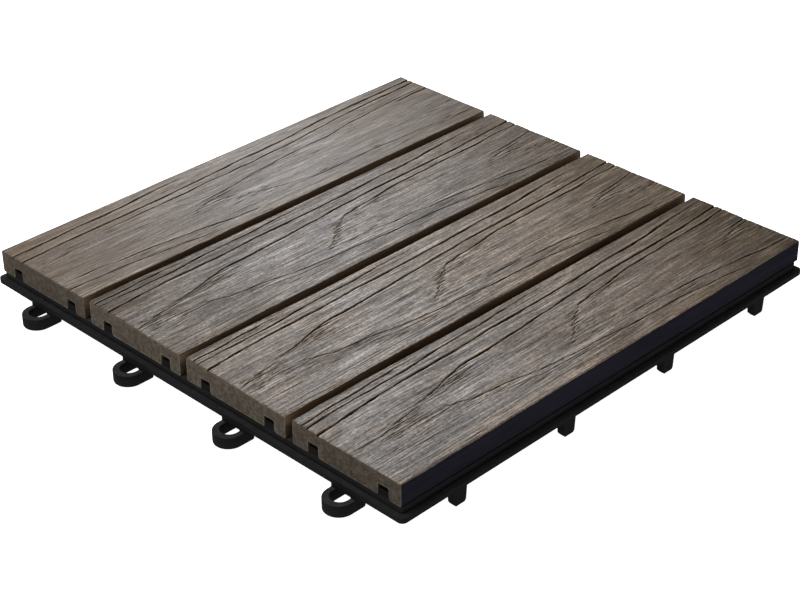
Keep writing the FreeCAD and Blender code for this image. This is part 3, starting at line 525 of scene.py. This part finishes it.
class Tree:
    """Short helpers for building a node material."""

    def __init__(self, name):
        self.material = bpy.data.materials.new(name)
        self.material.use_nodes = True
        self.nodes = self.material.node_tree.nodes
        self.links = self.material.node_tree.links
        self.nodes.clear()
        self.out = self.nodes.new("ShaderNodeOutputMaterial")
        self.shader = self.nodes.new("ShaderNodeBsdfPrincipled")
        self.links.new(self.shader.outputs["BSDF"], self.out.inputs["Surface"])
        self.place = self.nodes.new("ShaderNodeTexCoord").outputs["Object"]

    def put(self, value, socket):
        if hasattr(value, "is_output"):
            self.links.new(value, socket)
        else:
            socket.default_value = value

    def noise(self, scale, detail=3.0, rough=0.55, distortion=0.0, seed=(0, 0, 0)):
        mapping = self.nodes.new("ShaderNodeMapping")
        mapping.inputs["Scale"].default_value = scale
        mapping.inputs["Location"].default_value = seed
        self.links.new(self.place, mapping.inputs["Vector"])
        tex = self.nodes.new("ShaderNodeTexNoise")
        tex.inputs["Scale"].default_value = 1.0
        tex.inputs["Detail"].default_value = detail
        tex.inputs["Roughness"].default_value = rough
        tex.inputs["Distortion"].default_value = distortion
        self.links.new(mapping.outputs["Vector"], tex.inputs["Vector"])
        return tex.outputs["Fac"]

    def attribute(self, name):
        node = self.nodes.new("ShaderNodeAttribute")
        node.attribute_name = name
        return node.outputs["Fac"]

    def math(self, operation, a, b=0.0, c=0.0, clamp=False):
        node = self.nodes.new("ShaderNodeMath")
        node.operation = operation
        node.use_clamp = clamp
        for value, socket in zip((a, b, c), node.inputs):
            self.put(value, socket)
        return node.outputs[0]

    def ramp(self, value, low, high, to_low=0.0, to_high=1.0):
        node = self.nodes.new("ShaderNodeMapRange")
        node.clamp = True
        node.interpolation_type = "SMOOTHSTEP"
        self.put(value, node.inputs["Value"])
        for key, number in (("From Min", low), ("From Max", high), ("To Min", to_low), ("To Max", to_high)):
            self.put(number, node.inputs[key])
        return node.outputs["Result"]

    def linear(self, value, low, high, to_low, to_high):
        node = self.nodes.new("ShaderNodeMapRange")
        node.clamp = True
        self.put(value, node.inputs["Value"])
        for key, number in (("From Min", low), ("From Max", high), ("To Min", to_low), ("To Max", to_high)):
            self.put(number, node.inputs[key])
        return node.outputs["Result"]

    def mix(self, factor, a, b):
        node = self.nodes.new("ShaderNodeMix")
        node.data_type = "RGBA"
        node.clamp_factor = True
        self.put(factor, node.inputs["Factor"])
        self.put(a if hasattr(a, "is_output") else (*a, 1.0), node.inputs["A"])
        self.put(b if hasattr(b, "is_output") else (*b, 1.0), node.inputs["B"])
        return node.outputs["Result"]

    def scale(self, colour, factor):
        node = self.nodes.new("ShaderNodeVectorMath")
        node.operation = "SCALE"
        self.links.new(colour, node.inputs[0])
        self.put(factor, node.inputs["Scale"])
        return node.outputs["Vector"]

    def split(self):
        node = self.nodes.new("ShaderNodeSeparateXYZ")
        self.links.new(self.place, node.inputs[0])
        return node.outputs

    def facing_up(self):
        """The world direction of the flat surface, Z part."""
        geometry = self.nodes.new("ShaderNodeNewGeometry")
        node = self.nodes.new("ShaderNodeSeparateXYZ")
        self.links.new(geometry.outputs["True Normal"], node.inputs[0])
        return node.outputs["Z"]

    def bump(self, height, strength, distance):
        node = self.nodes.new("ShaderNodeBump")
        node.inputs["Strength"].default_value = strength
        node.inputs["Distance"].default_value = distance
        self.links.new(height, node.inputs["Height"])
        self.links.new(node.outputs["Normal"], self.shader.inputs["Normal"])

    def finish(self, colour, roughness, specular):
        self.links.new(colour, self.shader.inputs["Base Color"])
        self.put(roughness, self.shader.inputs["Roughness"])
        if specular is not None:
            self.shader.inputs["Specular IOR Level"].default_value = specular
        return self.material


def wood_top():
    t = Tree("wood_composite_top")
    fibre = t.noise((1060, 42, 300), 2.0, 0.6)
    strand = t.noise((440, 15, 120), 2.0, 0.55, seed=(3, 1, 0))
    hatch = t.noise((1240, 24, 300), 1.0, 0.5, seed=(4, 7, 0))
    grit = t.noise((1150, 560, 400), 1.0, 0.5, seed=(6, 2, 0))
    chatter = t.noise((230, 900, 300), 1.0, 0.5, seed=(1, 9, 4))
    blotch = t.noise((62, 16, 20), 1.0, 0.5, 0.3, seed=(7, 4, 0))
    cool = t.noise((50, 22, 20), 1.0, 0.5, 0.3, seed=(2, 8, 0))
    brown = t.math("ADD", t.attribute("brown"), t.linear(strand, 0.3, 0.7, -0.05, 0.05))
    colour = t.mix(brown, GREY, BROWN)
    colour = t.mix(t.ramp(blotch, 0.50, 0.68, 0.0, 0.40), colour, RUST)
    warm = t.mix(t.ramp(cool, 0.50, 0.68, 0.0, 0.22), colour, SLATE)
    factor = t.math("MULTIPLY", t.linear(fibre, 0.26, 0.74, 0.76, 1.24), t.linear(strand, 0.30, 0.70, 0.97, 1.03))
    factor = t.math("MULTIPLY", factor, t.linear(hatch, 0.26, 0.74, 0.42, 1.58))
    factor = t.math("MULTIPLY", factor, t.linear(grit, 0.25, 0.75, 0.46, 1.54))
    factor = t.math("MULTIPLY", factor, t.linear(chatter, 0.25, 0.75, 0.88, 1.12))
    # hairlines lie where a stretched noise crosses its middle value, here and there along the grain
    for scale, seed, show, tone in (((620, 18, 90), (11, 3, 0), (0.44, 0.60), 0.58), ((780, 26, 90), (5, 12, 0), (0.46, 0.60), 0.60),
                                    ((680, 20, 90), (9, 6, 0), (0.42, 0.58), 1.66), ((860, 28, 90), (2, 15, 0), (0.44, 0.60), 1.70)):
        wave = t.noise(scale, 1.0, 0.5, seed=seed)
        gate = t.noise((150, 34, 60), 2.0, 0.5, seed=(seed[1], seed[0], 1))
        line = t.ramp(t.math("ABSOLUTE", t.math("SUBTRACT", wave, 0.5)), 0.012, 0.068, 1.0, 0.0)
        line = t.math("MULTIPLY", line, t.ramp(gate, show[0], show[1]))
        factor = t.math("MULTIPLY", factor, t.linear(line, 0.0, 1.0, 1.0, tone))
    factor = t.math("MULTIPLY_ADD", t.math("SUBTRACT", factor, 1.0), t.attribute("wear"), 1.0)
    factor = t.math("MULTIPLY", factor, t.attribute("light"))
    streak = t.attribute("streak")
    bright = t.math("MAXIMUM", streak, 0.0)
    dark = t.math("MINIMUM", streak, 0.0)
    factor = t.math("MULTIPLY", factor, t.math("ADD", 1.0, t.math("MULTIPLY", bright, 0.62)))
    factor = t.math("MULTIPLY", factor, t.math("ADD", 1.0, t.math("MULTIPLY", dark, 0.60), clamp=True))
    # the cracks are painted near-black, as painted shade in the crevices
    open_crack = t.ramp(t.attribute("crack"), 0.08, 0.66)
    colour = t.scale(warm, factor)
    # pale streaks: pale fibres, and painted highlights on the ridges and beside the cracks
    pale = t.mix(t.math("MULTIPLY", bright, 0.50), colour, PALE)
    colour = t.mix(open_crack, pale, CRACK_SHADE)
    rough = t.math("ADD", t.linear(strand, 0.3, 0.7, 0.48, 0.56), t.math("MULTIPLY", open_crack, 0.30))
    # worn fibres shine, the cracks and the dull grain between them do not
    shine = t.math("MULTIPLY", t.math("MULTIPLY", factor, 0.5), t.math("SUBTRACT", 1.0, open_crack, clamp=True), clamp=True)
    t.put(shine, t.shader.inputs["Specular IOR Level"])
    t.bump(t.math("ADD", t.math("MULTIPLY", fibre, 0.6), t.math("MULTIPLY", grit, 0.4)), 0.6, 0.00022)
    return t.finish(colour, rough, None)


def wood_side():
    """The smooth extruded sides and underside, almost black."""
    t = Tree("wood_composite_side")
    drawn = t.noise((400, 9, 1900), 3.0, 0.6)
    blotch = t.noise((90, 24, 130), 3.0, 0.55, seed=(2, 2, 5))
    blue = t.mix(t.linear(blotch, 0.3, 0.7, 0.0, 1.0), SIDE_A, SIDE_B)
    # the gap walls and the underside are painted brown, as painted warm bounce light
    brown = t.mix(t.linear(blotch, 0.3, 0.7, 0.0, 1.0), GAP_BOUNCE_A, GAP_BOUNCE_B)
    # the gap walls are darker towards the bottom and lighter near the top, as painted shade deep in the gaps
    brown = t.scale(brown, t.ramp(t.attribute("height"), 4.0, 11.8, 0.46, 1.40))
    colour = t.mix(t.attribute("outer"), brown, blue)
    colour = t.scale(colour, t.linear(drawn, 0.3, 0.7, 0.80, 1.22))
    t.bump(drawn, 0.35, 0.00012)
    return t.finish(colour, t.linear(drawn, 0.3, 0.7, 0.55, 0.70), 0.0)


def wood_end():
    """The sawn ends: a mottled core with a paler line, a painted edge highlight, round the underside, the sides and the
    grooves.
    """
    t = Tree("wood_composite_end")
    across, height = t.attribute("across"), t.attribute("height")
    mottle = t.noise((420, 300, 420), 4.0, 0.6)
    grit = t.noise((2300, 900, 2300), 2.0, 0.6, seed=(5, 1, 2))
    saw = t.noise((700, 60, 60), 2.0, 0.5, 0.4, seed=(1, 6, 3))
    rust = t.noise((130, 100, 260), 2.0, 0.5, seed=(8, 3, 1))
    colour = t.mix(t.linear(mottle, 0.34, 0.66, 0.0, 1.0), END_A, END_B)
    colour = t.mix(t.ramp(rust, 0.50, 0.66, 0.0, 0.55), colour, END_RUST)
    # a paler line along the edges of the cut end, as a painted highlight
    low = t.ramp(height, 0.25, 0.85, 1.0, 0.0)
    sides = t.ramp(t.math("ABSOLUTE", across), 34.2, 34.75, 0.0, 1.0)
    rim = t.math("MAXIMUM", low, sides)
    for centre, width in GROOVES:
        away = t.math("ABSOLUTE", t.math("SUBTRACT", t.math("ABSOLUTE", t.math("SUBTRACT", across, centre)), width / 2))
        wall = t.math("MULTIPLY", t.ramp(away, 0.2, 0.75, 1.0, 0.0), t.ramp(height, GROOVE_DEEP + 0.2, GROOVE_DEEP + 0.7, 1.0, 0.0))
        roof = t.math("MULTIPLY", t.ramp(t.math("ABSOLUTE", t.math("SUBTRACT", height, GROOVE_DEEP + 0.1)), 0.2, 0.6, 1.0, 0.0),
                      t.ramp(t.math("ABSOLUTE", t.math("SUBTRACT", across, centre)), width / 2 + 0.1, width / 2 + 0.5, 1.0, 0.0))
        rim = t.math("MAXIMUM", rim, t.math("MAXIMUM", wall, roof))
    rim = t.math("MULTIPLY", rim, t.linear(mottle, 0.3, 0.7, 0.25, 0.85))
    colour = t.mix(rim, colour, END_RIM_HIGHLIGHT)
    top = t.ramp(height, 11.3, 12.0, 0.0, 0.45)
    colour = t.mix(top, colour, END_TOP)
    colour = t.scale(colour, t.math("MULTIPLY", t.linear(grit, 0.3, 0.7, 0.80, 1.22), t.linear(saw, 0.3, 0.7, 0.90, 1.10)))
    colour = t.scale(colour, t.attribute("batch"))
    t.bump(t.math("ADD", t.math("MULTIPLY", grit, 0.5), t.math("MULTIPLY", saw, 0.6)), 0.5, 0.00025)
    return t.finish(colour, t.linear(mottle, 0.3, 0.7, 0.70, 0.86), 0.04)


def plastic():
    """Moulded black plastic with a fine spark-eroded grain, and a little dust and painted light on what faces up."""
    t = Tree("moulded_black_plastic")
    grain_fine = t.noise((2600, 2600, 2600), 2.0, 0.6)
    cloud = t.noise((60, 60, 60), 3.0, 0.6, seed=(4, 4, 4))
    dust = t.noise((240, 240, 240), 3.0, 0.65, seed=(1, 2, 3))
    up = t.ramp(t.facing_up(), 0.35, 0.95)
    colour = t.mix(t.linear(cloud, 0.3, 0.7, 0.0, 1.0), PLASTIC_A, PLASTIC_B)
    # less dust and painted light on what faces up from the flange upwards, as painted shade beneath the slats, and none
    # on what stands inside the slats' grooves, which is also darker as painted shade
    high = t.split()["Z"]
    height_band = t.math("MULTIPLY", t.ramp(high, 0.0090, 0.0105, 0.62, 0.34), t.ramp(high, 0.0159, 0.0161, 1.0, 0.0))
    # what faces up is lightened, partly dust and partly painted light from above
    colour = t.mix(t.math("MULTIPLY", t.math("MULTIPLY", up, height_band), t.linear(dust, 0.3, 0.7, 0.50, 0.90)), colour, PLASTIC_DUST_AND_LIGHT)
    # inside the slats' grooves the plastic is darkened as painted shade; from just above the flange top it is made
    # lighter
    colour = t.scale(colour, t.math("MULTIPLY", t.ramp(high, 0.0157, 0.0163, 1.0, 0.55), t.ramp(high, 0.0121, 0.0126, 1.0, 1.35)))
    colour = t.scale(colour, t.linear(grain_fine, 0.3, 0.7, 0.86, 1.14))
    t.bump(grain_fine, 0.25, 0.00008)
    return t.finish(colour, t.linear(cloud, 0.3, 0.7, 0.50, 0.66), 0.005)


def zinc():
    """Zinc-plated steel, slightly dulled."""
    t = Tree("zinc_plated_steel")
    cloud = t.noise((900, 900, 900), 3.0, 0.6)
    scratch = t.noise((300, 4200, 300), 2.0, 0.5, seed=(3, 2, 1))
    colour = t.mix(t.linear(cloud, 0.3, 0.7, 0.0, 1.0), (0.42, 0.43, 0.44), (0.62, 0.62, 0.60))
    t.shader.inputs["Metallic"].default_value = 1.0
    t.bump(scratch, 0.2, 0.00004)
    return t.finish(colour, t.linear(cloud, 0.3, 0.7, 0.26, 0.46), 0.5)


def floor_material():
    t = Tree("pale_floor")
    cloud = t.noise((1.6, 1.6, 1.6), 2.0, 0.5)
    fine = t.noise((180, 180, 180), 2.0, 0.5, seed=(2, 0, 0))
    colour = t.mix(t.linear(cloud, 0.3, 0.7, 0.0, 1.0), (0.90, 0.90, 0.90), (0.93, 0.93, 0.93))
    t.bump(fine, 0.02, 0.0001)
    # a back-lit table with a dark square under the tile
    where = t.split()
    out = t.math("MAXIMUM", t.math("ABSOLUTE", where["X"]), t.math("ABSOLUTE", where["Y"]))
    t.shader.inputs["Emission Color"].default_value = (1.0, 1.0, 1.0, 1.0)
    t.put(t.ramp(out, 0.1335, 0.1380, 0.0, 1.06), t.shader.inputs["Emission Strength"])
    return t.finish(colour, t.linear(fine, 0.3, 0.7, 0.85, 0.95), 0.1)


GREY = (0.139, 0.1055, 0.0795)
BROWN = (0.142, 0.092, 0.049)
RUST = (0.140, 0.090, 0.046)
SLATE = (0.122, 0.103, 0.091)
PALE = (0.34, 0.288, 0.228)
CRACK_SHADE = (0.0072, 0.0040, 0.0014)
SIDE_A = (0.0115, 0.0109, 0.0160)
SIDE_B = (0.0147, 0.0139, 0.0202)
GAP_BOUNCE_A = (0.092, 0.064, 0.040)
GAP_BOUNCE_B = (0.160, 0.112, 0.071)
END_A = (0.036, 0.0285, 0.022)
END_B = (0.080, 0.066, 0.050)
END_RUST = (0.056, 0.038, 0.027)
END_RIM_HIGHLIGHT = (0.110, 0.098, 0.080)
END_TOP = (0.080, 0.068, 0.052)
PLASTIC_A = (0.0080, 0.0080, 0.0081)
PLASTIC_B = (0.0104, 0.0104, 0.0105)
PLASTIC_DUST_AND_LIGHT = (0.082, 0.081, 0.080)

WOOD_TOP = wood_top()
WOOD_SIDE = wood_side()
WOOD_END = wood_end()
PLASTIC = plastic()
ZINC = zinc()

# ------------------------------------------------------------------ pieces

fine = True
for k in range(4):
    build_slat(k, 240 if fine else 120, 306 if fine else 180)


def moulded(name, material, width):
    """A CAD node kept as it is, with welded faces, softly broken edges and its own finish."""
    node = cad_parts[name]
    node.data.materials.clear()
    node.data.materials.append(material)
    weld = node.modifiers.new("weld", "WELD")
    weld.merge_threshold = 0.000002
    flat = node.modifiers.new("flat", "DECIMATE")
    flat.decimate_type = "DISSOLVE"
    flat.angle_limit = math.radians(1.0)
    bevel = node.modifiers.new("edge", "BEVEL")
    bevel.width = width
    bevel.segments = 2
    bevel.limit_method = "ANGLE"
    bevel.angle_limit = math.radians(40)
    bevel.use_clamp_overlap = True
    bevel.harden_normals = False
    return node


moulded("base_grid", PLASTIC, 0.00025)
moulded("base_feet", PLASTIC, 0.00025)
moulded("edge_loops", PLASTIC, 0.00045)
moulded("edge_pegs", PLASTIC, 0.00030)
moulded("deck_screws", ZINC, 0.00008)

# ------------------------------------------------------------------ floor, light and camera

bpy.ops.mesh.primitive_plane_add(size=9.0, location=(0, 0, -0.0002))
floor = bpy.context.object
floor.name = "studio_floor"
floor.data.materials.append(floor_material())

world = bpy.data.worlds.new("studio")
bpy.context.scene.world = world
world.use_nodes = True
world.node_tree.nodes["Background"].inputs["Color"].default_value = (1.0, 1.0, 1.0, 1.0)
world.node_tree.nodes["Background"].inputs["Strength"].default_value = 0.10


def softbox(name, at, aim, size, power, colour=(1, 1, 1)):
    data = bpy.data.lights.new(name, "AREA")
    data.shape = "RECTANGLE"
    data.size, data.size_y = size
    data.energy = power
    data.color = colour
    light = bpy.data.objects.new(name, data)
    bpy.context.scene.collection.objects.link(light)
    back = np.array(at, float) - np.array(aim, float)
    back /= np.linalg.norm(back)
    right = np.cross((0, 0, 1), back)
    right /= np.linalg.norm(right)
    up = np.cross(back, right)
    turn = Matrix(((right[0], up[0], back[0]), (right[1], up[1], back[1]), (right[2], up[2], back[2]))).to_4x4()
    light.matrix_world = Matrix.Translation(at) @ turn
    return light


softbox("back_left", (-0.42, 0.33, 0.54), (0.0, 0.0, 0.028), (0.10, 0.44), 3.5, (0.92, 1.0, 1.10))
softbox("overhead", (-0.35, -1.0, 1.55), (0.0, 0.0, 0.0), (1.4, 1.4), 25.0)

bpy.context.scene.view_settings.view_transform = "Standard"
bpy.context.scene.view_settings.look = "None"
bpy.context.scene.view_settings.exposure = 0.0
bpy.context.scene.view_settings.gamma = 1.0


def set_camera(azimuth, elevation, roll, shift_x, shift_y, distance, focal, pivot_z):
    """A camera whose picture is 800 pixels wide; focal is in those pixels, lengths in millimetres."""
    a, e, r = math.radians(azimuth), math.radians(elevation), math.radians(roll)
    back = np.array([math.sin(a) * math.cos(e), -math.cos(a) * math.cos(e), math.sin(e)])
    right = np.cross(-back, (0, 0, 1))
    right /= np.linalg.norm(right)
    up = np.cross(right, -back)
    c, s = math.cos(r), math.sin(r)
    turn = np.array([c * right + s * up, -s * right + c * up, back])
    place = turn.T @ -np.array([shift_x, shift_y, -distance]) + np.array([0, 0, pivot_z])
    data = bpy.data.cameras.new("photo_camera")
    data.sensor_width = 36.0
    data.lens = focal * 36.0 / 800.0
    data.clip_start, data.clip_end = 0.01, 100.0
    camera = bpy.data.objects.new("photo_camera", data)
    bpy.context.scene.collection.objects.link(camera)
    camera.matrix_world = Matrix.Translation(place * MM) @ Matrix(turn.T.tolist()).to_4x4()
    bpy.context.scene.camera = camera


set_camera(45.050, 31.354, -0.600, -0.050, 27.950, 1030.92, 1972.68, 28.0)
